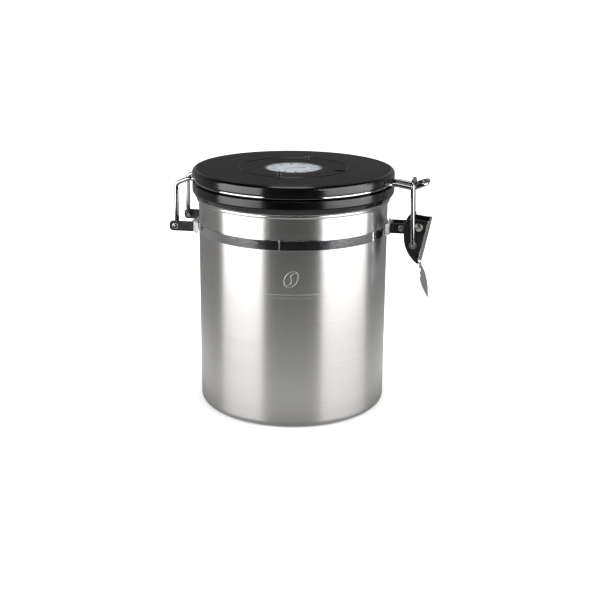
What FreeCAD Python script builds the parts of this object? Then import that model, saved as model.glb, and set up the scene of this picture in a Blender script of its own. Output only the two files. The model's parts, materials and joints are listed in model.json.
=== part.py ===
import FreeCAD, Part
import math
import os

# Food canister: a steel body with a hinged lid, a wire bail and an over-centre latch.
# Millimetres. +Z is up, and the origin is the centre of the base, on the surface it stands on.
# The latch is on +X, and the hinge is on -X.

Vector = FreeCAD.Vector
ORIGIN = Vector(0, 0, 0)
UP = Vector(0, 0, 1)
ACROSS = Vector(0, 1, 0)

# ---- Driving dimensions ----

# Body
BODY_R = 61.0
WALL = 0.8
FOOT_R = 57.0
FOOT_WIDTH = 5.0
FOOT_SLOPE = 1.5
FOOT_CORNER = 4.0
BASE_RISE = 1.6
RIM_BEAD_R = 1.3
RIM_BEAD_Z = 136.1
BAND_LOW = 115.5
BAND_HIGH = 121.8
BAND_THICK = 0.9

# Wires
BAIL_D = 2.8
LINK_D = 2.5
GROOVE_R = 62.2
GROOVE_Z = 147.8

# Lid shells. The groove for the wire is shared between the upper and the lower one.
LIP_R = 65.0
SKIRT_R = 65.0
LID_LOW = 137.8
LID_TOP = 155.3
PANEL_R = 62.2
PANEL_THICK = 1.9
SHELL_WALL = 1.8
SHELL_INNER_R = 59.5
SPIGOT_R = 4.9

# Lid underside
PLUG_R = 56.6
PLUG_DROP = 1.8
PLUG_WALL = 2.2
PLATE_LOW = LID_LOW + 0.2
PLATE_THICK = 1.6
PLATE_TOP = LID_LOW + 3.3
INNER_PLATE_R = 57.4
GASKET_IN = 57.9
GASKET_OUT = 62.0
GASKET_LOW = LID_LOW - 0.15
GASKET_HIGH = LID_LOW + 1.6

# Date dial
DISC_R = 34.9
DISC_GAP = 0.3
DISC_BASE = LID_TOP - 1.2
DISC_FLOOR = 0.5
DISC_TOP = LID_TOP
WELL_Z = LID_TOP - 1.4
CHAMFER = 0.5
HUB_R = 18.5
DISC_BORE = HUB_R + 0.05
DIAL_R = 17.6
DIAL_RING_R = 19.4
DIAL_RING_TOP = LID_TOP - 0.1
DIAL_SEAT = LID_TOP - 0.9
DIAL_THICK = 0.4
LENS_TOP = LID_TOP + 0.2
NOTCH_ANGLE = -12.5
NOTCH_WIDTH = 6.4
NOTCH_DEPTH = 6.6
NOTCH_FLOOR = 0.35
RIVET_CIRCLE_R = 32.2
RIVET_TURN = -5.5
INDEX_SHANK_R = 0.9
INDEX_HEAD_R = 2.0
INDEX_HEAD_HEIGHT = 2.6
COLLAR_R = 2.6
COLLAR_SINK = 0.5
COLLAR_PROUD = 0.4
SCREW_R = 1.5
SCREW_HEAD_R = 2.8
SCREW_DEPTH = 2.4
WASHER_R = 7.0
WASHER_THICK = 0.6

# One-way valve
VALVE_R = 10.8
VALVE_WALL = 1.4
VALVE_FLANGE_R = 13.8
VALVE_DISC_R = 8.2
VALVE_SEAT_Z = LID_LOW + 1.4
VALVE_TOP_Z = LID_LOW + 6.0
FILTER_R = 8.5
VENT_R = 1.3
VENT_CIRCLE_R = 4.6
CAP_THICK = 1.2
CAP_POST_R = 1.6
CAP_VENT_R = 1.1
CAP_VENT_CIRCLE_R = 5.6

# Hinge
HINGE_X = -74.3
HINGE_Z = 117.3
LEG_Y = 13.8
LEG_TOP_Z = 144.3
EAR_IN = 17.3
EAR_THICK = 1.2
EAR_END_X = -78.1
EAR_LOW = 114.1
EAR_HIGH = 120.6
EAR_CORNER = 2.4
HINGE_WEB_X = -62.4
HINGE_SADDLE_HALF = 19.6
RIB_HEIGHT = 1.4
RIB_DEPTH = 0.8
BAIL_BEND = 4.0
PIN_PROUD = 0.9

# Latch
LEVER_X = 82.0
LEVER_Z = 121.4
LEVER_TOP_Z = LEVER_Z + 3.9
LEVER_TIP_Z = LEVER_Z - 23.8
LEVER_DEPTH = 7.0
LEVER_LEAN = 0.2
LINK_X = 78.7
LINK_Z = 109.5
BAR_X = 77.4
BAR_Z = 149.9
STRAND_Y = 6.6
VALLEY_X = 77.3
VALLEY_Z = 146.05
BEAK_X = 86.2
BEAK_Z = 149.6
LINK_LEG_Y = 9.9
CHEEK_IN = 6.6
CHEEK_THICK = 0.9
ARM_IN = 5.1
ARM_THICK = 1.2
ARM_LOW = 116.5
ARM_HIGH = 122.8
ARM_CORNER = 2.6
ARM_REACH = 2.7
LATCH_WEB_X = 63.8
LATCH_SADDLE_HALF = 7.3
FACE_THICK = 0.9
NECK_X = LEVER_X + 1.3
NECK_Z = LEVER_Z - 27.0
TAB_END_X = LEVER_X + 6.6
TAB_END_Z = LEVER_Z - 48.2
TAB_WIDE_Z = TAB_END_Z + 13.5
TAB_HALF_WIDTH = 9.0
NECK_HALF_WIDTH = 5.4
TIP_HALF_WIDTH = 1.6
STOP_X = 70.8
STOP_Z = 120.0
PIVOT_R = 1.9
PIVOT_HEAD_R = 2.6
STOP_R = 1.2
STOP_HEAD_R = 1.85
EYELET_R = 1.8
EYELET_FLANGE_R = 2.4
EYELET_FLANGE = 0.4

# Fit between pieces that turn on each other
RUNNING = 0.05

# The groove's section is square, and just clears the wire
GROOVE_HALF = BAIL_D / 2 + RUNNING
GROOVE_FLOOR_R = GROOVE_R - GROOVE_HALF

os.makedirs("parts", exist_ok=True)


def save(name, shape):
    shape.exportStep(f"parts/{name}.step")


# ---- Drawing helpers ----

def rounded_edges(points, radii, closed=False):
    """Straight runs joined by tangent arcs. Each point has its own corner radius."""
    count = len(points)
    starts, ends, mids = [], [], []
    for i, point in enumerate(points):
        at_end = not closed and i in (0, count - 1)
        if at_end or radii[i] == 0:
            starts.append(point)
            ends.append(point)
            mids.append(None)
            continue
        back = (points[i - 1] - point).normalize()
        ahead = (points[(i + 1) % count] - point).normalize()
        half = back.getAngle(ahead) / 2
        cut = radii[i] / math.tan(half)
        to_centre = (back + ahead).normalize()
        starts.append(point + back * cut)
        ends.append(point + ahead * cut)
        mids.append(point + to_centre * (radii[i] / math.sin(half) - radii[i]))
    edges = []
    for i in range(count):
        if mids[i] is not None:
            edges.append(Part.Arc(starts[i], mids[i], ends[i]).toShape())
        if i + 1 < count or closed:
            nearer, further = ends[i], starts[(i + 1) % count]
            if nearer.distanceToPoint(further) > 1e-6:
                edges.append(Part.LineSegment(nearer, further).toShape())
    return edges


def outline(corners, place):
    """A closed wire from (u, v) or (u, v, radius) corners, put into space by place(u, v)."""
    points = [place(corner[0], corner[1]) for corner in corners]
    radii = [corner[2] if len(corner) > 2 else 0 for corner in corners]
    return Part.Wire(rounded_edges(points, radii, closed=True))


def turned(corners):
    """A solid of revolution about Z from an (r, z) outline."""
    face = Part.Face(outline(corners, lambda r, z: Vector(r, 0, z)))
    return face.revolve(ORIGIN, UP, 360)


def side_plate(corners, y_low, thickness):
    """An (x, z) outline given thickness along +Y."""
    face = Part.Face(outline(corners, lambda x, z: Vector(x, y_low, z)))
    return face.extrude(Vector(0, thickness, 0))


def both_sides(shape):
    """The shape and its mirror image across the XZ plane."""
    return [shape, shape.mirror(ORIGIN, ACROSS)]


def rod(radius, length, start, direction):
    return Part.makeCylinder(radius, length, start, direction)


def swept(edges, diameter):
    """A round wire along a path of tangent edges."""
    path = Part.Wire(edges)
    start = edges[0].valueAt(edges[0].FirstParameter)
    heading = edges[0].tangentAt(edges[0].FirstParameter)
    section = Part.Wire(Part.makeCircle(diameter / 2, start, heading))
    return path.makePipeShell([section], True, False)


def domed_head(radius, height, start, direction):
    """A rivet head: a short land under a dome."""
    land = height * 0.3
    dome = height - land
    sphere_r = (radius * radius + dome * dome) / (2 * dome)
    centre = start + direction * (height - sphere_r)
    body = rod(radius, height, start, direction)
    return body.common(Part.makeSphere(sphere_r, centre))


# ---- Body: the fixed pieces ----

def canister_wall():
    inside = BODY_R - WALL
    foot_in = FOOT_R - FOOT_WIDTH
    panel_r = foot_in - FOOT_SLOPE
    shell = turned([
        (0, BASE_RISE), (panel_r, BASE_RISE, 1.0), (foot_in, 0, 1.0), (BODY_R, 0, FOOT_CORNER),
        (BODY_R, RIM_BEAD_Z), (inside, RIM_BEAD_Z), (inside, WALL, FOOT_CORNER - WALL),
        (foot_in, WALL, 1.0), (panel_r, BASE_RISE + WALL, 1.0), (0, BASE_RISE + WALL),
    ])
    bead = Part.makeTorus(BODY_R, RIM_BEAD_R, Vector(0, 0, RIM_BEAD_Z), UP)
    return shell.fuse(bead).removeSplitter()


def neck_band():
    outer = BODY_R + BAND_THICK
    return turned([
        (BODY_R, BAND_LOW), (outer, BAND_LOW, 0.35), (outer, BAND_HIGH, 0.35), (BODY_R, BAND_HIGH),
    ])


def saddle(web_x, half_width, low, high):
    """A block that fills the space between the round strap and a bracket's flat web."""
    depth = BODY_R / 3
    block = Part.makeBox(depth, 2 * half_width, high - low, Vector(abs(web_x) - depth, -half_width, low))
    core = rod(BODY_R + BAND_THICK, high - low + 2, Vector(0, 0, low - 1), UP)
    block = block.cut(core)
    return block if web_x > 0 else block.mirror(ORIGIN, Vector(1, 0, 0))


def hinge_bracket():
    outer = EAR_IN + EAR_THICK
    middle = (EAR_LOW + EAR_HIGH) / 2
    ear = side_plate([
        (HINGE_WEB_X, EAR_LOW), (EAR_END_X, EAR_LOW, EAR_CORNER), (EAR_END_X, EAR_HIGH, EAR_CORNER),
        (HINGE_WEB_X, EAR_HIGH),
    ], EAR_IN, EAR_THICK)
    web = Part.makeBox(EAR_THICK, 2 * outer, EAR_HIGH - EAR_LOW,
                       Vector(HINGE_WEB_X - EAR_THICK, -outer, EAR_LOW))
    rib_start = Vector(HINGE_WEB_X - EAR_THICK - RIB_DEPTH, -EAR_IN, middle - RIB_HEIGHT / 2)
    rib = Part.makeBox(RIB_DEPTH, 2 * EAR_IN, RIB_HEIGHT, rib_start)
    body = web.multiFuse(both_sides(ear) + [rib]).removeSplitter()
    hole = rod(BAIL_D / 2 + RUNNING, 2 * outer + 2, Vector(HINGE_X, -outer - 1, HINGE_Z), ACROSS)
    return body.cut(hole)


def latch_bracket():
    outer = ARM_IN + ARM_THICK
    arm_end = LEVER_X + ARM_REACH
    arm = side_plate([
        (LATCH_WEB_X, ARM_LOW), (arm_end, ARM_LOW, ARM_CORNER), (arm_end, ARM_HIGH, ARM_CORNER),
        (LATCH_WEB_X, ARM_HIGH),
    ], ARM_IN, ARM_THICK)
    web = Part.makeBox(ARM_THICK, 2 * outer, ARM_HIGH - ARM_LOW, Vector(LATCH_WEB_X, -outer, ARM_LOW))
    body = web.multiFuse(both_sides(arm)).removeSplitter()
    span = 2 * outer + 2
    pivot_hole = rod(PIVOT_R, span, Vector(LEVER_X, -outer - 1, LEVER_Z), ACROSS)
    stop_hole = rod(STOP_R, span, Vector(STOP_X, -outer - 1, STOP_Z), ACROSS)
    return body.cut(pivot_hole).cut(stop_hole)


def bracket_rivet():
    """A rivet with hollow heads, which also stops the lever."""
    outer = ARM_IN + ARM_THICK
    head_height = 0.7
    shaft = rod(STOP_R, 2 * outer, Vector(STOP_X, -outer, STOP_Z), ACROSS)
    head = rod(STOP_HEAD_R, head_height, Vector(STOP_X, outer, STOP_Z), ACROSS)
    head = head.makeFillet(0.25, [head.Edges[0]])
    dimple = rod(STOP_HEAD_R / 2, head_height, Vector(STOP_X, outer + head_height / 2, STOP_Z), ACROSS)
    return shaft.multiFuse(both_sides(head.cut(dimple))).removeSplitter()


def lever_pivot_rivet():
    cheek_out = CHEEK_IN + CHEEK_THICK
    shaft_end = cheek_out + RUNNING
    shaft = rod(PIVOT_R, 2 * shaft_end, Vector(LEVER_X, -shaft_end, LEVER_Z), ACROSS)
    head = domed_head(PIVOT_HEAD_R, 0.75, Vector(LEVER_X, shaft_end, LEVER_Z), ACROSS)
    return shaft.multiFuse(both_sides(head)).removeSplitter()


# ---- Lid ----

def lid_shell():
    """The upper lid shell: the seat for the top panel, and the lip over the wire."""
    panel_low = LID_TOP - PANEL_THICK
    cavity_top = panel_low - SHELL_WALL
    lip_low = GROOVE_Z + GROOVE_HALF
    return turned([
        (SPIGOT_R + 0.1, cavity_top), (SHELL_INNER_R, cavity_top, 2.0), (SHELL_INNER_R, GROOVE_Z),
        (GROOVE_FLOOR_R, GROOVE_Z), (GROOVE_FLOOR_R, lip_low), (LIP_R, lip_low, 0.6),
        (LIP_R, LID_TOP - 1.4, 2.2), (PANEL_R + 1.1, LID_TOP + 0.1, 0.9),
        (PANEL_R + 0.1, LID_TOP - 0.1), (PANEL_R + 0.1, panel_low), (SPIGOT_R + 0.1, panel_low),
    ])


def lid_skirt():
    """The lower lid shell: an upright band under the wire, sloping in to the lid's lower edge."""
    gasket_wall = GASKET_OUT + 0.1
    plate_wall = INNER_PLATE_R + 0.1
    ledge = PLATE_TOP + 0.1
    band_top = GROOVE_Z - GROOVE_HALF
    return turned([
        (plate_wall, ledge), (SHELL_INNER_R - 0.1, ledge, 0.6), (SHELL_INNER_R - 0.1, GROOVE_Z),
        (GROOVE_FLOOR_R, GROOVE_Z), (GROOVE_FLOOR_R, band_top), (SKIRT_R, band_top, 0.4),
        (SKIRT_R, LID_LOW + 3.4, 2.0), (GASKET_OUT + 0.9, LID_LOW, 0.5), (gasket_wall, LID_LOW),
        (gasket_wall, GASKET_HIGH), (plate_wall, GASKET_HIGH),
    ])


def lid_panel():
    """The satin disc on top, with a shallow well for the date disc."""
    low = LID_TOP - PANEL_THICK
    well_r = DISC_R + DISC_GAP
    bore = HUB_R + RUNNING
    return turned([
        (bore, low), (PANEL_R, low), (PANEL_R, LID_TOP, 0.3), (well_r + CHAMFER, LID_TOP),
        (well_r, LID_TOP - CHAMFER), (well_r, WELL_Z), (bore, WELL_Z),
    ])


def lid_inner_plate():
    """The plate that closes the underside, with a rim that reaches into the body's mouth."""
    valve_bore = VALVE_R + 0.1
    plug_low = LID_LOW - PLUG_DROP
    plug_in = PLUG_R - PLUG_WALL
    shelf = LID_LOW - 0.1
    top = PLATE_LOW + PLATE_THICK
    return turned([
        (valve_bore, PLATE_LOW), (plug_in, PLATE_LOW, 0.6), (plug_in, plug_low, 0.4),
        (PLUG_R, plug_low, 0.8), (PLUG_R, shelf), (INNER_PLATE_R, shelf), (INNER_PLATE_R, PLATE_TOP),
        (plug_in - 0.8, PLATE_TOP, 0.6), (plug_in - 0.8, top, 0.6), (valve_bore, top),
    ])


def gasket():
    top = GASKET_HIGH - RUNNING
    return turned([
        (GASKET_IN, GASKET_LOW + 0.4, 0.3), (GASKET_IN + 0.8, GASKET_LOW, 0.3),
        (GASKET_OUT, GASKET_LOW, 0.3), (GASKET_OUT, top), (GASKET_IN, top),
    ])


def bail_wire():
    """Half of the wire is drawn on -Y, from the hinge pin to the beak's tip, and mirrored."""
    bend = BAIL_BEND
    level_run = 2.5
    pin_end = EAR_IN + EAR_THICK + PIN_PROUD
    reach = GROOVE_R + bend
    back_x = -math.sqrt(reach ** 2 - (LEG_Y + bend) ** 2)
    front_x = math.sqrt(reach ** 2 - (STRAND_Y + bend) ** 2)

    def level(x, y, z=GROOVE_Z):
        return Vector(x, y, z)

    def turn_out(centre_x, side_y, inward_first):
        """The arc between a straight run along X and the groove's circle."""
        centre = level(centre_x, -side_y - bend)
        on_run = centre + Vector(0, bend, 0)
        on_circle = level(centre.x * GROOVE_R / reach, centre.y * GROOVE_R / reach)
        middle = (on_run + on_circle) * 0.5 - centre
        apex = centre + middle.normalize() * bend
        ends = (on_run, on_circle) if inward_first else (on_circle, on_run)
        return ends[0], apex, ends[1]

    back_run, back_apex, back_circle = turn_out(back_x, LEG_Y, True)
    front_circle, front_apex, front_run = turn_out(front_x, STRAND_Y, False)
    edges = rounded_edges([
        Vector(HINGE_X, -pin_end, HINGE_Z), Vector(HINGE_X, -LEG_Y, HINGE_Z),
        level(HINGE_X, -LEG_Y, LEG_TOP_Z), level(back_run.x - level_run, -LEG_Y), back_run,
    ], [0, 1.8, 3.4, 6.0, 0])
    edges.append(Part.Arc(back_run, back_apex, back_circle).toShape())
    edges.append(Part.Arc(back_circle, level(0, -GROOVE_R), front_circle).toShape())
    edges.append(Part.Arc(front_circle, front_apex, front_run).toShape())
    edges += rounded_edges([
        front_run, level(front_run.x + level_run, -STRAND_Y), Vector(VALLEY_X, -STRAND_Y, VALLEY_Z),
        Vector(BEAK_X, -STRAND_Y, BEAK_Z), Vector(BEAK_X, 0, BEAK_Z),
    ], [0, 12.0, 6.0, 3.8, 0])
    half = swept(edges, BAIL_D)
    return half.fuse(half.mirror(ORIGIN, ACROSS)).removeSplitter()


# ---- Date dial ----

def rivet_centre(side):
    turn = math.radians(RIVET_TURN)
    return Vector(-math.sin(turn), math.cos(turn), 0) * side * RIVET_CIRCLE_R


def date_disc():
    """A ring that turns round the hub, with a finger notch in its rim and two rivet seats."""
    step = DIAL_RING_R + 0.15
    floor = DISC_BASE + DISC_FLOOR
    ring = turned([
        (DISC_BORE, DISC_BASE), (DISC_R, DISC_BASE), (DISC_R, DISC_TOP - CHAMFER),
        (DISC_R - CHAMFER, DISC_TOP), (step, DISC_TOP, 0.2), (step, floor), (DISC_BORE, floor),
    ])
    half = NOTCH_WIDTH / 2
    inner = DISC_R - NOTCH_DEPTH
    beyond = DISC_R + 3
    face = Part.Face(outline([
        (inner, -half, half * 0.9), (beyond, -half), (beyond, half), (inner, half, half * 0.9),
    ], lambda x, y: Vector(x, y, DISC_BASE + NOTCH_FLOOR)))
    notch = face.extrude(Vector(0, 0, 5))
    notch.rotate(ORIGIN, UP, NOTCH_ANGLE)
    ring = ring.cut(notch)
    for side in (-1, 1):
        centre = rivet_centre(side)
        ring = ring.cut(rod(INDEX_SHANK_R, 5, centre + UP * (DISC_BASE - 1), UP))
        ring = ring.cut(rod(COLLAR_R, 5, centre + UP * (DISC_TOP - COLLAR_SINK), UP))
    return ring


def index_rivet(side):
    """A small rivet: its shank is in the disc, and its tall round head is a grip for a fingertip."""
    centre = rivet_centre(side)
    head_low = DISC_TOP + COLLAR_PROUD
    shank_low = DISC_BASE + 0.1
    shank = rod(INDEX_SHANK_R, head_low - shank_low, centre + UP * shank_low, UP)
    head = rod(INDEX_HEAD_R, INDEX_HEAD_HEIGHT, centre + UP * head_low, UP)
    head = head.makeFillet(INDEX_HEAD_R * 0.85, [head.Edges[0]])
    return shank.fuse(head).removeSplitter()


def rivet_collar(side):
    centre = rivet_centre(side)
    low = DISC_TOP - COLLAR_SINK
    body = rod(COLLAR_R, COLLAR_SINK + COLLAR_PROUD, centre + UP * low, UP)
    body = body.makeFillet(0.35, [body.Edges[0]])
    return body.cut(rod(INDEX_SHANK_R, 5, centre + UP * (low - 1), UP))


def dial_hub():
    """The disc turns on the hub's lower barrel, and the ring above it keeps the disc down."""
    flange_low = DISC_BASE + DISC_FLOOR + 0.15
    bottom = LID_TOP - PANEL_THICK
    cup_r = DIAL_R + 0.1
    hub = turned([
        (0, bottom), (HUB_R, bottom), (HUB_R, flange_low), (DIAL_RING_R, flange_low),
        (DIAL_RING_R, DIAL_RING_TOP, 0.2), (cup_r, DIAL_RING_TOP, 0.2), (cup_r, DIAL_SEAT),
        (0, DIAL_SEAT),
    ])
    spigot_low = bottom - SHELL_WALL
    spigot = rod(SPIGOT_R, SHELL_WALL, UP * spigot_low, UP)
    screw_hole = rod(SCREW_R, SCREW_DEPTH + 0.2, UP * (spigot_low - 0.1), UP)
    return hub.fuse(spigot).removeSplitter().cut(screw_hole)


def dial_face():
    return rod(DIAL_R, DIAL_THICK, UP * DIAL_SEAT, UP)


def dial_lens():
    low = DIAL_SEAT + DIAL_THICK
    return turned([(0, low), (DIAL_R, low), (DIAL_R, LENS_TOP - 0.15, 0.4), (0, LENS_TOP)])


def hub_screw():
    """A slotted screw, driven up into the hub through the washer."""
    top = LID_TOP - PANEL_THICK - SHELL_WALL
    head_height = 1.9
    head_low = top - WASHER_THICK - head_height
    shank = rod(SCREW_R, SCREW_DEPTH + WASHER_THICK, UP * (top - WASHER_THICK), UP)
    head = rod(SCREW_HEAD_R, head_height, UP * head_low, UP)
    head = head.makeFillet(0.6, [head.Edges[2]])
    slot = Part.makeBox(6, 0.8, 0.9, Vector(-3, -0.4, head_low))
    return shank.fuse(head).removeSplitter().cut(slot)


def hub_washer():
    top = LID_TOP - PANEL_THICK - SHELL_WALL
    low = top - WASHER_THICK
    return turned([(SCREW_R + 0.1, low), (WASHER_R, low), (WASHER_R, top), (SCREW_R + 0.1, top)])


# ---- One-way valve ----

def around(radius, count):
    """The centres of a ring of holes."""
    turns = [2 * math.pi * i / count for i in range(count)]
    return [Vector(radius * math.cos(turn), radius * math.sin(turn), 0) for turn in turns]


def valve_housing():
    """A cup through the inner plate, with a flange below it and vents in its floor."""
    flange_low = LID_LOW - 1.1
    flange_top = PLATE_LOW - RUNNING
    recess_r = FILTER_R + 0.1
    inside = VALVE_R - VALVE_WALL
    cup = turned([
        (0, PLATE_LOW), (recess_r, PLATE_LOW), (recess_r, flange_low),
        (VALVE_FLANGE_R, flange_low, 0.5), (VALVE_FLANGE_R, flange_top), (VALVE_R, flange_top),
        (VALVE_R, VALVE_TOP_Z), (inside, VALVE_TOP_Z), (inside, VALVE_SEAT_Z), (0, VALVE_SEAT_Z),
    ])
    for centre in around(VENT_CIRCLE_R, 6):
        cup = cup.cut(rod(VENT_R, 2, centre + UP * (PLATE_LOW - 0.2), UP))
    return cup


def valve_disc():
    low = VALVE_SEAT_Z + RUNNING
    top = low + 1.2
    return turned([
        (0, low), (VALVE_DISC_R, low), (VALVE_DISC_R, low + 0.8, 0.3), (2.0, top, 0.5), (0, top),
    ])


def valve_cap():
    """A vented lid on the cup, with a post that limits the disc's lift."""
    low = VALVE_TOP_Z - CAP_THICK
    post_length = 0.9
    plate = rod(VALVE_R - VALVE_WALL - RUNNING, CAP_THICK, UP * low, UP)
    post = rod(CAP_POST_R, post_length, UP * (low - post_length), UP)
    cap = plate.fuse(post).removeSplitter()
    for centre in around(CAP_VENT_CIRCLE_R, 8):
        cap = cap.cut(rod(CAP_VENT_R, 2, centre + UP * (low - 0.3), UP))
    return cap


def valve_filter():
    return rod(FILTER_R, 0.6, UP * (PLATE_LOW - 0.65), UP)


# ---- Latch: lever and link ----

def lever_edge_x(z):
    """The lever's straight outer edge, which leans inward as it goes down."""
    return LEVER_X + LEVER_DEPTH - LEVER_LEAN * (LEVER_TOP_Z - z)


def lever_outline():
    """The cheek's outline, as a closed wire on the plane y = 0."""
    tip = Vector(lever_edge_x(LEVER_TIP_Z), 0, LEVER_TIP_Z)
    corner = Vector(lever_edge_x(LEVER_TOP_Z), 0, LEVER_TOP_Z)
    pivot = Vector(LEVER_X, 0, LEVER_Z)

    def round_pivot(radius, angle):
        turn = math.radians(angle)
        return pivot + Vector(radius * math.cos(turn), 0, radius * math.sin(turn))

    shoulder = round_pivot(8.1, 136)
    nose = round_pivot(9.2, 192)
    heel = tip + Vector(-1.9, 0, -0.1)
    return Part.Wire([
        Part.LineSegment(heel, tip).toShape(),
        Part.LineSegment(tip, corner).toShape(),
        Part.LineSegment(corner, shoulder).toShape(),
        Part.Arc(shoulder, round_pivot(9.0, 164), nose).toShape(),
        Part.Arc(nose, pivot + Vector(-7.5, 0, -14.8), heel).toShape(),
    ])


def lever_channel():
    """Two cheeks joined by a web along their outer edges."""
    cheek_out = CHEEK_IN + CHEEK_THICK
    full = Part.Face(lever_outline()).extrude(Vector(0, 2 * cheek_out, 0))
    full.translate(Vector(0, -cheek_out, 0))
    lean = math.degrees(math.atan(LEVER_LEAN))
    room = Part.makeBox(40, 2 * CHEEK_IN, 60, Vector(-40 - CHEEK_THICK, -CHEEK_IN, -40))
    room.rotate(ORIGIN, ACROSS, lean)
    room.translate(Vector(lever_edge_x(LEVER_Z), 0, LEVER_Z))
    channel = full.cut(room)
    span = 2 * cheek_out + 2
    pivot_hole = rod(PIVOT_R + RUNNING, span, Vector(LEVER_X, -cheek_out - 1, LEVER_Z), ACROSS)
    link_hole = rod(EYELET_R, span, Vector(LINK_X, -cheek_out - 1, LINK_Z), ACROSS)
    return channel.cut(pivot_hole).cut(link_hole)


def lever_face():
    """A cover strip on the channel's web, with its lower end drawn out into a leaf-shaped tab."""
    cheek_out = CHEEK_IN + CHEEK_THICK
    lean = math.atan(LEVER_LEAN)
    outward = Vector(math.cos(lean), 0, -math.sin(lean))
    top = Vector(lever_edge_x(LEVER_TOP_Z + 0.3), 0, LEVER_TOP_Z + 0.3)
    knee = Vector(lever_edge_x(LEVER_TIP_Z + 0.5), 0, LEVER_TIP_Z + 0.5)
    neck = Vector(NECK_X, 0, NECK_Z)
    tab_end = Vector(TAB_END_X, 0, TAB_END_Z)
    along = (tab_end - neck).normalize()
    tab_out = Vector(-along.z, 0, along.x)
    profile = [top, knee, neck, tab_end]
    offsets = [outward, (outward + tab_out).normalize(), tab_out, tab_out]
    skin = profile + [point + push * FACE_THICK for point, push in reversed(list(zip(profile, offsets)))]
    radii = [0, 3.0, 6.0, 0, 0, 6.0, 3.0, 0]
    face = Part.Face(Part.Wire(rounded_edges(skin, radii, closed=True)))
    strip = face.extrude(Vector(0, 30, 0))
    strip.translate(Vector(0, -15, 0))
    # The outline seen from the front: a straight strip, a narrow neck and a leaf.
    half = cheek_out + 0.1
    shoulder_z = knee.z + 2
    tip_z = TAB_END_Z + 0.3

    def front(y, z):
        return Vector(60, y, z)

    def flank(side):
        """One long edge, from the strip's top down to the tip."""
        shoulder = front(side * half, shoulder_z)
        waist = front(side * NECK_HALF_WIDTH, NECK_Z + 1.2)
        wide = front(side * TAB_HALF_WIDTH, TAB_WIDE_Z)
        tip = front(side * TIP_HALF_WIDTH, tip_z)
        return [
            Part.LineSegment(front(side * half, top.z + 2), shoulder).toShape(),
            Part.Arc(shoulder, waist, wide).toShape(),
            Part.Arc(wide, front(side * 6.6, TAB_END_Z + 5.2), tip).toShape(),
        ]

    upper_end = Part.LineSegment(front(-half, top.z + 2), front(half, top.z + 2)).toShape()
    tip_ends = [front(side * TIP_HALF_WIDTH, tip_z) for side in (-1, 1)]
    tip_arc = Part.Arc(tip_ends[0], front(0, tip_z - 0.4), tip_ends[1])
    shape = Part.Wire([upper_end] + flank(1) + [tip_arc.toShape()] + flank(-1)[::-1])
    return strip.common(Part.Face(shape).extrude(Vector(60, 0, 0)))


def lever_eyelets():
    cheek_out = CHEEK_IN + CHEEK_THICK
    sleeve = rod(EYELET_R, CHEEK_THICK + EYELET_FLANGE, Vector(LINK_X, CHEEK_IN, LINK_Z), ACROSS)
    flange = rod(EYELET_FLANGE_R, EYELET_FLANGE, Vector(LINK_X, cheek_out, LINK_Z), ACROSS)
    bore = rod(LINK_D / 2 + RUNNING, 4, Vector(LINK_X, CHEEK_IN - 1, LINK_Z), ACROSS)
    eyelet = sleeve.fuse(flange).removeSplitter().cut(bore)
    return Part.makeCompound(both_sides(eyelet))


def latch_link():
    pin_end = CHEEK_IN - 1.0
    low_y, high_y = Vector(0, -LINK_LEG_Y, 0), Vector(0, LINK_LEG_Y, 0)
    low = Vector(LINK_X, 0, LINK_Z)
    bar = Vector(BAR_X, 0, BAR_Z)
    edges = rounded_edges([
        Vector(LINK_X, -pin_end, LINK_Z), low + low_y, bar + low_y, bar + high_y, low + high_y,
        Vector(LINK_X, pin_end, LINK_Z),
    ], [0, 1.5, 3.4, 3.4, 1.5, 0])
    return swept(edges, LINK_D)


PIECES = {
    "canister_wall": canister_wall,
    "neck_band": neck_band,
    "hinge_saddle": lambda: saddle(HINGE_WEB_X, HINGE_SADDLE_HALF, EAR_LOW - 0.6, EAR_HIGH + 0.2),
    "hinge_bracket": hinge_bracket,
    "latch_saddle": lambda: saddle(LATCH_WEB_X, LATCH_SADDLE_HALF, BAND_LOW, BAND_HIGH + 1.0),
    "latch_bracket": latch_bracket,
    "bracket_rivet": bracket_rivet,
    "lever_pivot_rivet": lever_pivot_rivet,
    "lid_shell": lid_shell,
    "lid_skirt": lid_skirt,
    "lid_panel": lid_panel,
    "lid_inner_plate": lid_inner_plate,
    "gasket": gasket,
    "bail_wire": bail_wire,
    "date_disc": date_disc,
    "index_rivets": lambda: Part.makeCompound([index_rivet(-1), index_rivet(1)]),
    "rivet_collars": lambda: Part.makeCompound([rivet_collar(-1), rivet_collar(1)]),
    "dial_hub": dial_hub,
    "dial_face": dial_face,
    "dial_lens": dial_lens,
    "hub_screw": hub_screw,
    "hub_washer": hub_washer,
    "valve_housing": valve_housing,
    "valve_disc": valve_disc,
    "valve_cap": valve_cap,
    "valve_filter": valve_filter,
    "lever_channel": lever_channel,
    "lever_face": lever_face,
    "lever_eyelets": lever_eyelets,
    "latch_link": latch_link,
}

for name, make in PIECES.items():
    save(name, make())
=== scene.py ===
import json
import math

import bmesh
import bpy
from mathutils import Matrix, Vector

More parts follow.
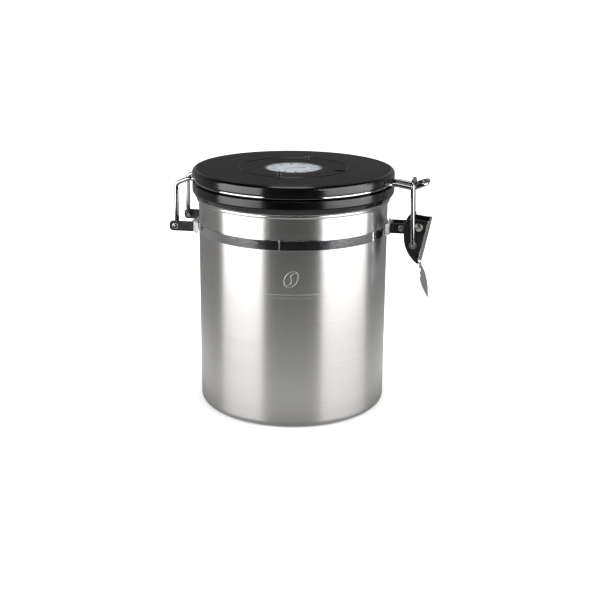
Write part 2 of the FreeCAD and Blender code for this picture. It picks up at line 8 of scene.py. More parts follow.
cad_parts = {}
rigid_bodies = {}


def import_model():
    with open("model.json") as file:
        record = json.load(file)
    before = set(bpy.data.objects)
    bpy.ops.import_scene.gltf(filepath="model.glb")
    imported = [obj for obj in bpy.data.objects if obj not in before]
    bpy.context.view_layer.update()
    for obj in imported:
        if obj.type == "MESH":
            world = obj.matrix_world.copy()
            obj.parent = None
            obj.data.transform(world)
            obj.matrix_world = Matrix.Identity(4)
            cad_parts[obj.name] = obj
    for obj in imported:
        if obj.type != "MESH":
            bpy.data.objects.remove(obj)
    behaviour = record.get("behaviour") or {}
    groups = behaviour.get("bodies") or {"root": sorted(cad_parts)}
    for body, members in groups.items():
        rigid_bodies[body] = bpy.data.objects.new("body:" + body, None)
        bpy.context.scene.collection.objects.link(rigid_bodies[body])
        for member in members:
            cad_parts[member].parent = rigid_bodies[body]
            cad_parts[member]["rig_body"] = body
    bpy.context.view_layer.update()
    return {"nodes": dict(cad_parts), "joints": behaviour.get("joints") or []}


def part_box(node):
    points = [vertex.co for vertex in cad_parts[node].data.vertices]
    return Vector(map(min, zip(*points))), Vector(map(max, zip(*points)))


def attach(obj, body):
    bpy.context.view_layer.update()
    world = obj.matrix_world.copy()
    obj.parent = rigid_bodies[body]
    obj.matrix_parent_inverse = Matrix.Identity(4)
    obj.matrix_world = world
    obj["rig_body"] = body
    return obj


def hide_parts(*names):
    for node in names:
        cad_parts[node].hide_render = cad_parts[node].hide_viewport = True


# A steel food canister with a hinged black lid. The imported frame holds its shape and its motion,
# and this script gives it its surfaces, its fine detail and a studio to stand in.
# +X is the latch side, -X the hinge side, and the base stands on z = 0. Pieces are worked out in
# millimetres and built in metres. The materials and the studio are in metres.

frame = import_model()
nodes = frame["nodes"]
MM = 0.001


def edges_of(node):
    """The lowest and highest corner of a node, in millimetres."""
    low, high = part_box(node)
    return low / MM, high / MM


def joint_place(name):
    """A point on a joint's axis, in millimetres."""
    return next(Vector(joint["pos_m"]) / MM for joint in frame["joints"] if joint["name"] == name)


# ---- Sizes and slots read from the frame ----

band_low, band_high = edges_of("neck_band")
dial_high = edges_of("dial_face")[1]
lever_high = edges_of("lever_face")[1]
channel_high = edges_of("lever_channel")[1]
BAND_R = band_high.x
DIAL_R = dial_high.x
LEVER_PIVOT = joint_place("lever_turn")
HINGE = joint_place("lid_hinge")


# ---- Node trees ----

class Builder:
    """Adds nodes to a node tree."""

    def __init__(self, tree):
        self.tree = tree

    def add(self, kind, settings=None, inputs=None):
        """Adds a node. An input takes a plain value or another node's output, and goes by its
        socket's name or by its place in the list."""
        node = self.tree.nodes.new(kind)
        for key, value in (settings or {}).items():
            setattr(node, key, value)
        for key, value in (inputs or {}).items():
            if isinstance(value, bpy.types.NodeSocket):
                self.tree.links.new(value, node.inputs[key])
            else:
                node.inputs[key].default_value = value
        return node

    def out(self, kind, settings=None, inputs=None):
        """Adds a node and gives its first output."""
        return self.add(kind, settings, inputs).outputs[0]

    def calculate(self, operation, first, second):
        return self.out("ShaderNodeMath", {"operation": operation}, {0: first, 1: second})

    def map_range(self, value, start, end, low, high, kind="LINEAR"):
        """Maps start..end to low..high."""
        return self.out("ShaderNodeMapRange", {"interpolation_type": kind}, {
            "Value": value, "From Min": start, "From Max": end, "To Min": low, "To Max": high})

    def ramp(self, value, stops):
        """Colours along a value that runs from 0 to 1."""
        node = self.add("ShaderNodeValToRGB", inputs={"Fac": value})
        elements = node.color_ramp.elements
        while len(elements) < len(stops):
            elements.new(1.0)
        for element, (position, colour) in zip(elements, stops):
            element.position = position
            element.color = (*colour, 1)
        return node.outputs[0]


# ---- Materials ----

PATTERN_MIDDLE = (0.35, 0.65)
NOISE_ROUGHNESS = 0.55


class Look(Builder):
    """A material built round one Principled shader, whose constant sockets are given by name."""

    def __init__(self, name, **sockets):
        self.material = bpy.data.materials.new(name)
        self.material.use_nodes = True
        super().__init__(self.material.node_tree)
        self.shader = self.tree.nodes["Principled BSDF"]
        for socket, value in sockets.items():
            self.shader.inputs[socket.replace("_", " ")].default_value = value

    def place(self, stretch=(1, 1, 1)):
        """The surface point in the object's own frame, scaled along each axis."""
        coords = self.add("ShaderNodeTexCoord")
        return self.out("ShaderNodeMapping", inputs={"Vector": coords.outputs["Object"], "Scale": stretch})

    def noise(self, scale, stretch=(1, 1, 1), detail=4.0):
        node = self.add("ShaderNodeTexNoise", inputs={
            "Vector": self.place(stretch), "Scale": scale, "Detail": detail, "Roughness": NOISE_ROUGHNESS})
        return node.outputs["Fac"]

    def bands(self, direction, scale):
        node = self.add("ShaderNodeTexWave", {"bands_direction": direction}, {
            "Vector": self.place(), "Scale": scale})
        return node.outputs["Fac"]

    def feed(self, socket, value):
        self.tree.links.new(value, self.shader.inputs[socket])

    def colour(self, pattern, dark, light, middle=PATTERN_MIDDLE):
        """Colours the surface from dark to light over the pattern's middle range."""
        self.feed("Base Color", self.ramp(pattern, [(middle[0], dark), (middle[1], light)]))

    def rough(self, pattern, low, high):
        """Varies the roughness over the pattern's middle range."""
        self.feed("Roughness", self.map_range(pattern, *PATTERN_MIDDLE, low, high))

    def bump(self, pattern, depth, strength):
        self.feed("Normal", self.out("ShaderNodeBump", inputs={
            "Height": pattern, "Distance": depth, "Strength": strength}))


def brushed_body_look():
    """Steel brushed round the body, so highlights spread up and down."""
    look = Look("steel_brushed_round", Metallic=1.0, Anisotropic=0.85, Anisotropic_Rotation=0.25)
    fine = look.noise(scale=1.0, stretch=(14, 14, 2600), detail=3.0)
    broad = look.noise(scale=1.0, stretch=(5, 5, 620), detail=3.0)
    look.colour(fine, dark=(0.60, 0.592, 0.58), light=(0.66, 0.652, 0.64), middle=(0.3, 0.7))
    look.rough(broad, 0.28, 0.30)
    look.feed("Tangent", look.out("ShaderNodeTangent", {"direction_type": "RADIAL", "axis": "Z"}))
    look.bump(fine, depth=0.0000005, strength=0.3)
    return look.material


def polished_look(name, colour, rough_low, rough_high):
    """Plated or polished steel with faint wiping marks."""
    cloud_dim = 0.93
    look = Look(name, Metallic=1.0)
    marks = look.noise(scale=900, stretch=(1, 1, 3), detail=2.0)
    cloud = look.noise(scale=60, detail=3.0)
    look.colour(cloud, dark=[level * cloud_dim for level in colour], light=colour)
    look.rough(marks, rough_low, rough_high)
    look.bump(marks, depth=0.0000006, strength=0.3)
    return look.material


def satin_steel_look():
    look = Look("steel_satin", Metallic=1.0)
    grain = look.noise(scale=2600)
    look.colour(grain, dark=(0.50, 0.485, 0.46), light=(0.66, 0.645, 0.62))
    look.rough(grain, 0.2, 0.34)
    look.bump(grain, depth=0.00001, strength=0.5)
    return look.material


def black_paint_look():
    """Gloss black stove paint with a faint orange peel."""
    look = Look("paint_black", Coat_Weight=0.4, Coat_Roughness=0.12)
    peel = look.noise(scale=1400, detail=2.0)
    cloud = look.noise(scale=180)
    look.colour(cloud, dark=(0.0025, 0.0025, 0.003), light=(0.005, 0.005, 0.0055))
    look.rough(cloud, 0.26, 0.38)
    look.bump(peel, depth=0.00002, strength=0.35)
    return look.material


def lid_gloss_look():
    """Moulded gloss black."""
    look = Look("lid_gloss_black", Specular_IOR_Level=0.46)
    peel = look.noise(scale=420, detail=2.0)
    cloud = look.noise(scale=90)
    look.colour(cloud, dark=(0.0010, 0.0010, 0.0012), light=(0.0016, 0.0016, 0.0018))
    look.rough(cloud, 0.13, 0.19)
    look.bump(peel, depth=0.00002, strength=0.25)
    return look.material


def lid_satin_look():
    """Satin charcoal with a fine even grain."""
    look = Look("lid_satin_charcoal", Specular_IOR_Level=0.35)
    grain = look.noise(scale=3200, detail=3.0)
    cloud = look.noise(scale=45)
    look.colour(cloud, dark=(0.0105, 0.0103, 0.0120), light=(0.0135, 0.0133, 0.0152))
    look.rough(grain, 0.5, 0.62)
    look.bump(grain, depth=0.00003, strength=0.6)
    return look.material


def moulded_look(name, dark, light, rough):
    """Plain moulded plastic or rubber with a light texture."""
    rough_spread = 0.1
    look = Look(name)
    grain = look.noise(scale=1800, detail=3.0)
    cloud = look.noise(scale=120)
    look.colour(cloud, dark, light)
    look.rough(cloud, rough, rough + rough_spread)
    look.bump(grain, depth=0.00002, strength=0.5)
    return look.material


def dial_face_look():
    look = Look("dial_white", Roughness=0.35)
    fibre = look.noise(scale=700)
    look.colour(fibre, dark=(0.80, 0.84, 0.90), light=(0.88, 0.92, 0.97))
    look.bump(fibre, depth=0.000005, strength=0.3)
    return look.material


def lens_look():
    """A clear cover. It is drawn as a thin glaze, so the dial below stays evenly lit."""
    look = Look("dial_lens_clear", Alpha=0.12, IOR=1.46, Coat_Weight=1.0, Coat_Roughness=0.03)
    smear = look.noise(scale=160, detail=3.0)
    look.rough(smear, 0.03, 0.09)
    look.colour(smear, dark=(0.20, 0.24, 0.29), light=(0.26, 0.30, 0.35))
    return look.material


def filter_look():
    """A woven filter cloth."""
    look = Look("filter_weave", Roughness=0.85)
    threads = 500.0
    weave = look.calculate("MULTIPLY", look.bands("X", threads), look.bands("Y", threads))
    look.colour(weave, dark=(0.55, 0.55, 0.52), light=(0.82, 0.82, 0.79), middle=(0.1, 0.8))
    look.bump(weave, depth=0.00008, strength=0.6)
    return look.material


def etched_look():
    """Acid-etched steel, rougher than the brushing round it."""
    look = Look("steel_etched", Metallic=1.0)
    grain = look.noise(scale=4200, detail=3.0)
    look.colour(grain, dark=(0.36, 0.355, 0.345), light=(0.44, 0.435, 0.425))
    look.rough(grain, 0.48, 0.6)
    look.bump(grain, depth=0.00001, strength=0.4)
    return look.material


chrome_wire = polished_look("chrome_wire", (0.36, 0.36, 0.37), 0.05, 0.10)
chrome_plate = polished_look("chrome_plate", (0.78, 0.78, 0.80), 0.06, 0.12)
steel_satin = satin_steel_look()
saddle_plate = polished_look("saddle_plate", (0.86, 0.86, 0.87), 0.40, 0.48)
steel_dark = polished_look("steel_dark", (0.06, 0.06, 0.063), 0.32, 0.42)
brushed_body = brushed_body_look()
paint_black = black_paint_look()
lid_gloss = lid_gloss_look()
lid_satin = lid_satin_look()
inner_black = moulded_look("inner_black_plastic", (0.016, 0.016, 0.017), (0.024, 0.024, 0.025), 0.45)
silicone = moulded_look("silicone_grey", (0.42, 0.42, 0.41), (0.50, 0.50, 0.49), 0.5)
dial_white = dial_face_look()
dial_clear = lens_look()
filter_weave = filter_look()
print_grey = moulded_look("print_grey", (0.020, 0.022, 0.030), (0.035, 0.037, 0.045), 0.5)
etched_steel = etched_look()

SURFACES = {
    "canister_wall": brushed_body,
    "neck_band": chrome_plate,
    "hinge_saddle": saddle_plate,
    "hinge_bracket": paint_black,
    "latch_saddle": saddle_plate,
    "latch_bracket": paint_black,
    "bracket_rivet": steel_satin,
    "lever_pivot_rivet": steel_satin,
    "lid_shell": lid_gloss,
    "lid_skirt": lid_gloss,
    "lid_panel": lid_satin,
    "lid_inner_plate": inner_black,
    "gasket": silicone,
    "bail_wire": chrome_wire,
    "date_disc": lid_satin,
    "index_rivets": steel_dark,
    "rivet_collars": paint_black,
    "dial_hub": lid_gloss,
    "dial_face": dial_white,
    "dial_lens": dial_clear,
    "hub_screw": steel_satin,
    "hub_washer": steel_satin,
    "valve_housing": inner_black,
    "valve_disc": silicone,
    "valve_cap": inner_black,
    "valve_filter": filter_weave,
    "lever_channel": paint_black,
    "lever_face": chrome_plate,
    "lever_eyelets": steel_satin,
    "latch_link": chrome_wire,
}
for node_name, surface in SURFACES.items():
    slots = nodes[node_name].data.materials
    for index in range(len(slots)):
        slots[index] = surface


# ---- Piece helpers ----

BEVEL_SEGMENTS = 3
SHARP_ANGLE = math.radians(30)


def new_piece(name, points, faces, material):
    """A smooth mesh from points in millimetres."""
    mesh = bpy.data.meshes.new(name)
    mesh.from_pydata([Vector(point) * MM for point in points], [], faces)
    mesh.materials.append(material)
    mesh.polygons.foreach_set("use_smooth", [True] * len(mesh.polygons))
    piece = bpy.data.objects.new(name, mesh)
    bpy.context.scene.collection.objects.link(piece)
    return piece


def modify(piece, kind, **settings):
    modifier = piece.modifiers.new(kind.lower(), kind)
    for key, value in settings.items():
        setattr(modifier, key, value)


def round_edges(piece, width):
    modify(piece, "BEVEL", width=width * MM, segments=BEVEL_SEGMENTS, limit_method="ANGLE",
           angle_limit=SHARP_ANGLE, harden_normals=True)


def tidy_normals(piece):
    """Turns every face outwards."""
    work = bmesh.new()
    work.from_mesh(piece.data)
    bmesh.ops.recalc_face_normals(work, faces=work.faces)
    work.to_mesh(piece.data)
    work.free()


def grid_faces(rows, columns, closed=False):
    """Quads between rows of points. A closed grid joins its last row to its first."""
    count = rows if closed else rows - 1
    faces = []
    for row in range(count):
        for column in range(columns - 1):
            near = row * columns + column
            far = (row + 1) % rows * columns + column
            faces.append((near, near + 1, far + 1, far))
    return faces


# ---- Brackets, the lever's channel and the lid's top, with rolled edges ----

BLACK_EDGE = 0.3
LID_EDGE = 0.12
MERGE_DISTANCE = 1e-6
FLAT_ANGLE = math.radians(0.5)
LEVEL_NORMAL = 0.95


def softened(node, width, edge_look=None):
    """Stands for a CAD node: the same shape, with its sharp edges rounded so that they catch light.
    An edge look, where there is one, goes on every face that isn't level."""
    work = bmesh.new()
    work.from_mesh(nodes[node].data)
    bmesh.ops.remove_doubles(work, verts=work.verts, dist=MERGE_DISTANCE)
    bmesh.ops.dissolve_limit(work, angle_limit=FLAT_ANGLE, verts=work.verts, edges=work.edges)
    points = [vertex.co / MM for vertex in work.verts]
    faces = [[vertex.index for vertex in face.verts] for face in work.faces]
    work.free()
    piece = new_piece(node + "_finished", points, faces, SURFACES[node])
    if edge_look:
        piece.data.materials.append(edge_look)
        for polygon in piece.data.polygons:
            polygon.material_index = int(abs(polygon.normal.z) < LEVEL_NORMAL)
    round_edges(piece, width)
    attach(piece, nodes[node]["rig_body"])
    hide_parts(node)


for node_name in ("hinge_bracket", "latch_bracket", "lever_channel"):
    softened(node_name, BLACK_EDGE)
for node_name in ("lid_panel", "date_disc"):
    softened(node_name, LID_EDGE, edge_look=lid_gloss)


# ---- Saddles between strap and brackets ----

SADDLE_EDGE = 0.3


def flared_saddle(node, side):
    """A plated block between strap and bracket. Its sides flare out towards the strap. The side is
    1 at the latch and -1 at the hinge."""
    low, high = edges_of(node)
    inset = 1.6
    flare = 4.2
    bedding = 0.02
    arc_steps = 24
    web_x = high.x if side > 0 else low.x
    half = high.y - inset
    strap_r = BAND_R + bedding
    foot = math.asin((half + flare) / strap_r)
    section = [(web_x, -half), (web_x, half)]
    for i in range(arc_steps + 1):
        turn = foot * (1 - 2 * i / arc_steps)
        section.append((side * strap_r * math.cos(turn), strap_r * math.sin(turn)))
    count = len(section)
    points = [(x, y, z) for z in (low.z, high.z) for x, y in section]
    faces = [list(range(count)), list(range(2 * count - 1, count - 1, -1))]
    faces += [(i, (i + 1) % count, count + (i + 1) % count, count + i) for i in range(count)]
    saddle = new_piece(node + "_flared", points, faces, SURFACES[node])
    tidy_normals(saddle)
    round_edges(saddle, SADDLE_EDGE)
    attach(saddle, "canister")
    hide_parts(node)


flared_saddle("hinge_saddle", -1)
flared_saddle("latch_saddle", 1)


# ---- Bail ends ----

def bail_pin_heads():
    """The bail's two ends are peened over outside the hinge ears."""
    rings, spokes = 7, 32
    head_r, proud = 2.0, 0.9
    gap = 0.05
    crown_r = 0.02
    ear_y = edges_of("hinge_bracket")[1].y
    points, faces = [], []
    for side in (-1, 1):
        first = len(points)
        last = first + rings * spokes
        for ring in range(rings + 1):
            slope = math.pi / 2 * ring / rings
            radius = max(head_r * math.cos(slope), crown_r)
            out = side * (ear_y + gap + proud * math.sin(slope))
            for spoke in range(spokes):
                turn = 2 * math.pi * spoke / spokes
                points.append((HINGE.x + radius * math.cos(turn), out, HINGE.z + radius * math.sin(turn)))
        for ring in range(rings):
            for spoke in range(spokes):
                here = first + ring * spokes + spoke
                beside = first + ring * spokes + (spoke + 1) % spokes
                faces.append((here, beside, beside + spokes, here + spokes))
        faces.append(list(range(first, first + spokes)))
        faces.append(list(range(last, last + spokes)))
    heads = new_piece("bail_pin_heads", points, faces, steel_satin)
    tidy_normals(heads)
    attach(heads, "lid")


bail_pin_heads()


# ---- Neck strap ----

STRAP_EDGE = 0.2


def neck_strap():
    """One strip of steel round the neck. At the front, midway between hinge and latch, its outer end
    laps over its inner end with a sloped edge."""
    steps = 720
    thick = 0.87
    lap_azimuth = 2.1
    slope_degrees = 0.9
    fade_degrees = 50.0
    lap_height = 0.38
    inner = BAND_R - thick
    points = []
    for i in range(steps):
        past_lap = 360.0 * i / steps
        rise = min(past_lap / slope_degrees, 1.0)
        fade = max(0.0, 1.0 - past_lap / fade_degrees)
        outer = BAND_R - lap_height * (1 - rise * fade)
        turn = math.radians(lap_azimuth + past_lap)
        profile = [(inner, band_low.z), (outer, band_low.z), (outer, band_high.z), (inner, band_high.z)]
        points += [(r * math.sin(turn), -r * math.cos(turn), z) for r, z in profile]
    sides = len(profile)
    faces = grid_faces(steps, sides, closed=True)
    for row in range(steps):
        here, there = row * sides, (row + 1) % steps * sides
        faces.append((here + sides - 1, here, there, there + sides - 1))
    strap = new_piece("neck_strap", points, faces, chrome_plate)
    tidy_normals(strap)
    round_edges(strap, STRAP_EDGE)
    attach(strap, "canister")
    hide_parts("neck_band")


neck_strap()


# ---- Lever face and finger tab ----

COVER_EDGE = 0.25


def smooth_line(points, count):
    """Points spaced evenly along a smooth curve that starts and ends at the ends of the list."""
    least_step = 1e-9
    data = bpy.data.curves.new("guide", "CURVE")
    data.dimensions = "3D"
    spline = data.splines.new("NURBS")
    spline.points.add(len(points) - 1)
    for place, point in zip(spline.points, points):
        place.co = (*point, 1)
    spline.order_u = 4
    spline.use_endpoint_u = True
    spline.resolution_u = 24
    guide = bpy.data.objects.new("guide", data)
    mesh = bpy.data.meshes.new_from_object(guide)
    line = [vertex.co.copy() for vertex in mesh.vertices]
    bpy.data.objects.remove(guide)
    bpy.data.curves.remove(data)
    bpy.data.meshes.remove(mesh)
    lengths = [0.0]
    for before, after in zip(line, line[1:]):
        lengths.append(lengths[-1] + (after - before).length)
    spaced = []
    place = 0
    for i in range(count):
        target = lengths[-1] * i / (count - 1)
        while place < len(line) - 2 and lengths[place + 1] < target:
            place += 1
        share = (target - lengths[place]) / max(lengths[place + 1] - lengths[place], least_step)
        spaced.append(line[place].lerp(line[place + 1], min(share, 1.0)))
    return spaced


def eased(start, end, share):
    """A smooth step from start to end, as share goes from 0 to 1."""
    return start + (end - start) * (1 - math.cos(math.pi * share)) / 2


def lever_cover():
    """A bright strip whose edges slant back over the black cheeks, drawn out into a dished leaf."""
    rows, columns = 121, 45
    thick = 0.8
    # The strip comes in by its lean for each millimetre down.
    lean = 0.2
    overhang = 0.9
    flange_wide, flange_deep, flange_fade = 1.4, 1.9, 2.0
    strip_half = channel_high.y + overhang
    strip_top = lever_high.z
    strip_bend = 14
    strip_reach = 23.4
    strip_end = LEVER_PIVOT.z - strip_reach
    outer_top = channel_high.x + thick
    end_x = outer_top - lean * (strip_top - strip_end)
    # The leaf's middle line: how far out from the strip's end, and how far below it.
    leaf_route = [(-0.9, 2.6), (0.3, 4.6), (2.2, 7.2), (3.9, 13.0), (4.9, 18.5), (5.0, 24.6)]
    middle = [(outer_top, strip_top), (outer_top - lean * strip_bend, strip_top - strip_bend)]
    middle += [(end_x, strip_end)]
    middle += [(end_x + out, strip_end - down) for out, down in leaf_route]
    line = smooth_line([(x, 0, z) for x, z in middle], rows)
    shoulder_z = strip_end + 1.5
    neck_z = strip_end - 3.2
    wide_z = strip_end - 9.2
    tip_z = line[-1].z
    neck_half, leaf_half, tip_half = 5.2, 9.6, 0.9
    # The powers set how full the leaf is between its widest place and its tip.
    taper, fullness = 1.25, 0.8
    dish, dish_onset = 2.6, 0.8

    def half_width(z):
        if z > shoulder_z:
            return strip_half
        if z > neck_z:
            return eased(strip_half, neck_half, (shoulder_z - z) / (shoulder_z - neck_z))
        if z > wide_z:
            return eased(neck_half, leaf_half, (neck_z - z) / (neck_z - wide_z))
        share = (wide_z - z) / (wide_z - tip_z)
        return max(tip_half, leaf_half * math.cos(math.pi / 2 * share ** taper) ** fullness)

    def turned_in(z, side):
        """How far the strip's edges slant back over the cheeks."""
        if z < strip_end:
            return 0.0
        share = max(0.0, abs(side) - (strip_half - flange_wide)) / flange_wide
        return flange_deep * share * min((z - strip_end) / flange_fade, 1.0)

    def hollow(z):
        """How far the leaf's edges bend back towards the canister."""
        if z > neck_z:
            return 0.0
        share = (neck_z - z) / (neck_z - tip_z)
        return dish * math.sin(math.pi * min(share, 1.0) ** dish_onset)

    points = []
    for point in line:
        half = half_width(point.z)
        for column in range(columns):
            across = 2 * column / (columns - 1) - 1
            bend = hollow(point.z) * across ** 2 * (half / leaf_half) + turned_in(point.z, across * half)
            points.append((point.x - bend, across * half, point.z))
    cover = new_piece("lever_cover", points, grid_faces(rows, columns), chrome_plate)
    modify(cover, "SOLIDIFY", thickness=thick * MM, offset=1, use_even_offset=True)
    round_edges(cover, COVER_EDGE)
    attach(cover, "lever")
    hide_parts("lever_face")


lever_cover()


# ---- Dial print ----

NUMBER_SIZE = 5.4
NUMBER_DEPTH = 0.01


def number_mesh(number, turn, radius, level):
    """A number that stands outwards on a dial, its middle at a radius and a level."""
    text = bpy.data.curves.new("number", "FONT")
    text.body = str(number)
    text.size = NUMBER_SIZE * MM
    text.align_x = "CENTER"
    text.align_y = "CENTER"
    text.extrude = NUMBER_DEPTH * MM
    holder = bpy.data.objects.new("number", text)
    mesh = bpy.data.meshes.new_from_object(holder)
    place = Vector((math.cos(turn), math.sin(turn), 0)) * radius * MM
    place.z = level * MM
    mesh.transform(Matrix.Translation(place) @ Matrix.Rotation(turn - math.pi / 2, 4, "Z"))
    bpy.data.objects.remove(holder)
    bpy.data.curves.remove(text)
    return mesh


def dial_print():
    """Numbers one to twelve, 48 ticks, longer at each number, and a plain pointer."""
    numbers, ticks = 12, 48
    dial_turn = 17
    number_r = DIAL_R * 0.74
    tick_r = DIAL_R * 0.93
    lift = 0.03
    level = dial_high.z + lift
    ink_below, ink_above = 0.01, 0.02
    # Each bar has a length and a width. The pointer's shaft and tip start with their middle's radius.
    long_tick, short_tick = (1.6, 0.6), (0.9, 0.3)
    pointer = [(1.0, 14.0, 0.7), (7.2, 1.8, 1.3)]
    pointer_turn = 28
    work = bmesh.new()
    for number in range(1, numbers + 1):
        turn = math.radians(dial_turn - 360 / numbers * number)
        mesh = number_mesh(number, turn, number_r, level)
        work.from_mesh(mesh)
        bpy.data.meshes.remove(mesh)

    def bar(centre_r, length, width, turn):
        corners = [
            (-length / 2, -width / 2), (length / 2, -width / 2), (length / 2, width / 2),
            (-length / 2, width / 2),
        ]
        spin = Matrix.Rotation(turn, 3, "Z")
        lows, highs = [], []
        for along, side in corners:
            flat = spin @ Vector((centre_r + along, side, 0))
            lows.append(work.verts.new(Vector((flat.x, flat.y, level - ink_below)) * MM))
            highs.append(work.verts.new(Vector((flat.x, flat.y, level + ink_above)) * MM))
        work.faces.new(highs)
        work.faces.new(lows[::-1])
        for i in range(4):
            j = (i + 1) % 4
            work.faces.new((lows[i], lows[j], highs[j], highs[i]))

    for tick in range(ticks):
        length, width = long_tick if tick % (ticks // numbers) == 0 else short_tick
        bar(tick_r, length, width, math.radians(tick * 360 / ticks + dial_turn))
    for centre_r, length, width in pointer:
        bar(centre_r, length, width, math.radians(pointer_turn))
    mesh = bpy.data.meshes.new("dial_print")
    work.to_mesh(mesh)
    work.free()
    mesh.materials.clear()
    mesh.materials.append(print_grey)
    piece = bpy.data.objects.new("dial_print", mesh)
    bpy.context.scene.collection.objects.link(piece)
    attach(piece, "lid")


dial_print()


# ---- Etched mark on the body ----

def bean_edge(wide, tall, steps):
    """An oval, as points across and up from its middle."""
    turns = [2 * math.pi * i / steps for i in range(steps + 1)]
    return [(wide / 2 * math.cos(turn), tall / 2 * math.sin(turn)) for turn in turns]


def bean_crease(wide, tall, steps):
    """The wavy line down the middle of the bean."""
    swing, reach = 0.16, 0.86
    shares = [i / steps for i in range(steps + 1)]
    return [(wide * swing * math.sin(2 * math.pi * share), tall * (share - 0.5) * reach) for share in shares]


def tilted(line, tilt):
    return [
        (x * math.cos(tilt) - z * math.sin(tilt), x * math.sin(tilt) + z * math.cos(tilt))
        for x, z in line
    ]


def rule(drop, length, steps):
    """A level line, a distance below the mark's middle."""
    return [(length * (i / steps - 0.5), -drop) for i in range(steps + 1)]


def etched_mark():
    """A coffee bean over two plain rules, etched into the front of the body."""
    rim_proud = 1.3
    wall_r = edges_of("canister_wall")[1].x - rim_proud
    azimuth = math.radians(9.3)
    centre_z = 97.5
    thick = 0.06
    bean_tall, bean_wide, bean_tilt, bean_steps = 11.0, 7.6, math.radians(-32), 48
    bean_stroke = 0.55
    rules = [{"drop": 9.8, "length": 33.0, "stroke": 0.5}, {"drop": 12.0, "length": 24.0, "stroke": 0.28}]
    rule_steps = 24
    strokes = [
        (tilted(bean_edge(bean_wide, bean_tall, bean_steps), bean_tilt), bean_stroke),
        (tilted(bean_crease(bean_wide, bean_tall, bean_steps), bean_tilt), bean_stroke),
    ]
    strokes += [(rule(each["drop"], each["length"], rule_steps), each["stroke"]) for each in rules]
    points, faces = [], []
    for line, width in strokes:
        first = len(points)
        for i, (x, z) in enumerate(line):
            before, after = line[max(i - 1, 0)], line[min(i + 1, len(line) - 1)]
            ahead = Vector((after[0] - before[0], after[1] - before[1])).normalized()
            for side in (-0.5, 0.5):
                turn = azimuth + (x - ahead.y * width * side) / wall_r
                level = centre_z + z + ahead.x * width * side
                points.append((wall_r * math.sin(turn), -wall_r * math.cos(turn), level))
        for face in grid_faces(len(line), 2):
            faces.append([first + corner for corner in face])
    mark = new_piece("etched_mark", points, faces, etched_steel)
    tidy_normals(mark)
    modify(mark, "SOLIDIFY", thickness=thick * MM, offset=0)
    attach(mark, "canister")


etched_mark()


# ---- Studio ----

# The floor and the world look white to the camera. In reflections the set is darker away from the
#  object, as a small white table in a dim room is; on the floor this is a painted glow of light and shade,
#  set by distance.

CAMERA_AZIMUTH = 10.0
CAMERA_PITCH = 16.947
CAMERA_ROLL = 0.49
CAMERA_HEIGHT = 0.28992
CAMERA_DISTANCE = 0.73427
CAMERA_OFFSET = 0.00483
CAMERA_LENS = 69.32

# The floor's painted glow. A stop is a distance from the object's axis and a light level there. To the
# camera the glow is dimmed near the object, painted shade round the base; in reflections it stands for a lit
# table, with painted shade at the base and light falling off with distance.
FLOOR_SIZE = 12
FLOOR_DROP = 0.0002
FLOOR_WHITE = 0.9
FLOOR_GLOW_PAINTED_SHADE = [(0.060, 0.1), (0.10, 1.0)]
FLOOR_REFLECTED_PAINTED_GLOW = [
    (0.065, 0.30), (0.10, 0.66), (0.15, 0.60), (0.21, 0.40), (0.28, 0.25), (0.40, 0.19), (1.0, 0.19),
]

# Painted light in the floor's reflected glow: the table's front edge, and the paler floor behind the object,
# by distance towards the camera.
TABLE_EDGE = (0.35, 0.43)
BEYOND_TABLE = 0.04
REAR_REACH = (-0.25, 0.05)
REAR_GAIN = 1.3

# The room. Its turn and its rise are ranges of a direction's part towards the camera, and upwards.
ROOM_TURN = (-0.5, 0.1)
ROOM_REAR = 0.32
ROOM_FRONT = 0.03
ROOM_RISE = (0.3, 0.75)
ROOM_OVERHEAD = 0.15
ROOM_FILL = 0.35
ROOM_SEEN = 1.2


class Stage(Builder):
    """Builds the tree of the floor's material or of the world, from nothing."""

    def __init__(self, tree):
        super().__init__(tree)
        tree.nodes.clear()

    def grey_ramp(self, value, stops):
        return self.ramp(value, [(position, (level, level, level)) for position, level in stops])

    def smooth_range(self, value, start, end, low, high):
        return self.map_range(value, start, end, low, high, "SMOOTHSTEP")

    def towards_camera(self, place):
        """The part of a point or direction along the floor, towards the front of the set."""
        turn = math.radians(CAMERA_AZIMUTH)
        front = (math.sin(turn), -math.cos(turn), 0)
        node = self.add("ShaderNodeVectorMath", {"operation": "DOT_PRODUCT"}, {0: place, 1: front})
        return node.outputs["Value"]


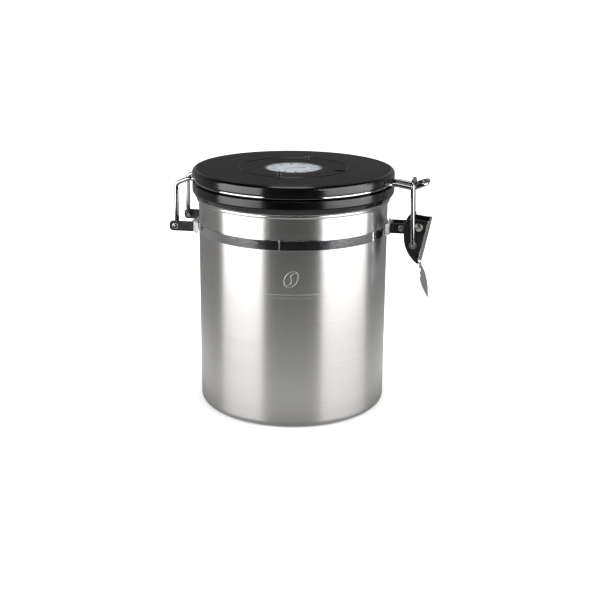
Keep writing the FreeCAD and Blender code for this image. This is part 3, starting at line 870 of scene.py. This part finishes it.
def studio_floor():
    """A white table. It glows white to the camera; near the object the glow is dimmed, painted shade round
    the base, so the soft shadow there shows. In reflections
    it shows a painted glow: bright beside the object with painted shade right at the base, greyer further
    off, and its front edge gives way to a dark room."""
    bpy.ops.mesh.primitive_plane_add(size=FLOOR_SIZE, location=(0, 0, -FLOOR_DROP))
    floor = bpy.context.object
    floor.name = "studio_floor"
    material = bpy.data.materials.new("floor_white_painted_glow")
    material.use_nodes = True
    draw = Stage(material.node_tree)
    place = draw.add("ShaderNodeTexCoord").outputs["Object"]
    distance = draw.add("ShaderNodeVectorMath", {"operation": "LENGTH"}, {0: place}).outputs["Value"]
    # Painted glow to the camera, dimmed near the object as painted shade round the base.
    seen = draw.out("ShaderNodeEmission", inputs={"Color": draw.grey_ramp(distance, FLOOR_GLOW_PAINTED_SHADE)})
    lit = draw.out("ShaderNodeBsdfDiffuse", inputs={"Color": (FLOOR_WHITE, FLOOR_WHITE, FLOOR_WHITE, 1)})
    near = draw.out("ShaderNodeAddShader", inputs={0: seen, 1: lit})
    front = draw.towards_camera(place)
    edge = draw.smooth_range(front, *TABLE_EDGE, 1.0, BEYOND_TABLE)
    rear = draw.smooth_range(front, *REAR_REACH, REAR_GAIN, 1.0)
    table = draw.calculate("MULTIPLY", edge, rear)
    # Painted light and shade on the floor, seen only in reflections: a glow that stands for the lit table,
    # with painted shade at the base.
    level = draw.calculate("MULTIPLY", table, draw.grey_ramp(distance, FLOOR_REFLECTED_PAINTED_GLOW))
    painted_reflected_glow = draw.out("ShaderNodeEmission", inputs={"Strength": level})
    path = draw.add("ShaderNodeLightPath")
    choose = draw.out("ShaderNodeMixShader", inputs={
        0: path.outputs["Is Glossy Ray"], 1: near, 2: painted_reflected_glow})
    draw.add("ShaderNodeOutputMaterial", inputs={"Surface": choose})
    floor.data.materials.append(material)


def studio_world():
    """White to the camera. In reflections the room is dim overhead and in front, and paler behind."""
    world = bpy.data.worlds.new("studio")
    bpy.context.scene.world = world
    world.use_nodes = True
    draw = Stage(world.node_tree)
    heading = draw.add("ShaderNodeTexCoord").outputs["Generated"]
    parts = draw.add("ShaderNodeSeparateXYZ", inputs={0: heading})
    rear = draw.smooth_range(draw.towards_camera(heading), *ROOM_TURN, ROOM_REAR, ROOM_FRONT)
    overhead = draw.smooth_range(parts.outputs["Z"], *ROOM_RISE, 1.0, ROOM_OVERHEAD)
    level = draw.calculate("MULTIPLY", rear, overhead)
    room = draw.out("ShaderNodeBackground", inputs={"Strength": level})
    fill = draw.out("ShaderNodeBackground", inputs={"Strength": ROOM_FILL})
    seen = draw.out("ShaderNodeBackground", inputs={"Color": (1, 1, 1, 1), "Strength": ROOM_SEEN})
    path = draw.add("ShaderNodeLightPath")
    indirect = draw.out("ShaderNodeMixShader", inputs={0: path.outputs["Is Glossy Ray"], 1: fill, 2: room})
    whole = draw.out("ShaderNodeMixShader", inputs={0: path.outputs["Is Camera Ray"], 1: indirect, 2: seen})
    draw.add("ShaderNodeOutputWorld", inputs={"Surface": whole})


def area_light(name, place, aim, width, tall, power):
    light = bpy.data.lights.new(name, "AREA")
    light.shape = "RECTANGLE"
    light.size = width
    light.size_y = tall
    light.energy = power
    holder = bpy.data.objects.new(name, light)
    holder.location = place
    holder.rotation_euler = (place - aim).to_track_quat("Z", "Y").to_euler()
    holder.visible_camera = False
    bpy.context.scene.collection.objects.link(holder)


def softbox(name, azimuth, distance, height, width, tall, power):
    """A large upright light on the table. Azimuth 0 is towards -Y, and it grows towards +X."""
    turn = math.radians(azimuth)
    place = Vector((math.sin(turn) * distance, -math.cos(turn) * distance, height))
    area_light(name, place, Vector((0, 0, height)), width, tall, power)


def studio_lights():
    """Two softboxes beside the object and a dimmer one overhead."""
    softbox("softbox_left", azimuth=-50.7, distance=0.62, height=0.275, width=0.63, tall=0.54, power=5.8)
    softbox("softbox_right", azimuth=74.0, distance=0.62, height=0.275, width=0.73, tall=0.54, power=6.6)
    area_light("softbox_overhead", place=Vector((0, -0.1, 1.2)), aim=Vector((0, 0, 0.1)),
               width=0.5, tall=0.5, power=3.0)


def studio_camera():
    data = bpy.data.cameras.new("camera")
    data.lens = CAMERA_LENS
    data.sensor_width = 36
    data.clip_start = 0.01
    camera = bpy.data.objects.new("camera", data)
    turn = Matrix.Rotation(math.radians(CAMERA_AZIMUTH), 4, "Z")
    tilt = Matrix.Rotation(math.radians(90 - CAMERA_PITCH), 4, "X")
    roll = Matrix.Rotation(math.radians(CAMERA_ROLL), 4, "Z")
    stand = Matrix.Translation(Vector((CAMERA_OFFSET, -CAMERA_DISTANCE, CAMERA_HEIGHT)))
    camera.matrix_world = turn @ stand @ tilt @ roll
    bpy.context.scene.collection.objects.link(camera)
    bpy.context.scene.camera = camera


studio_floor()
studio_world()
studio_lights()
studio_camera()
bpy.context.scene.view_settings.view_transform = "Standard"
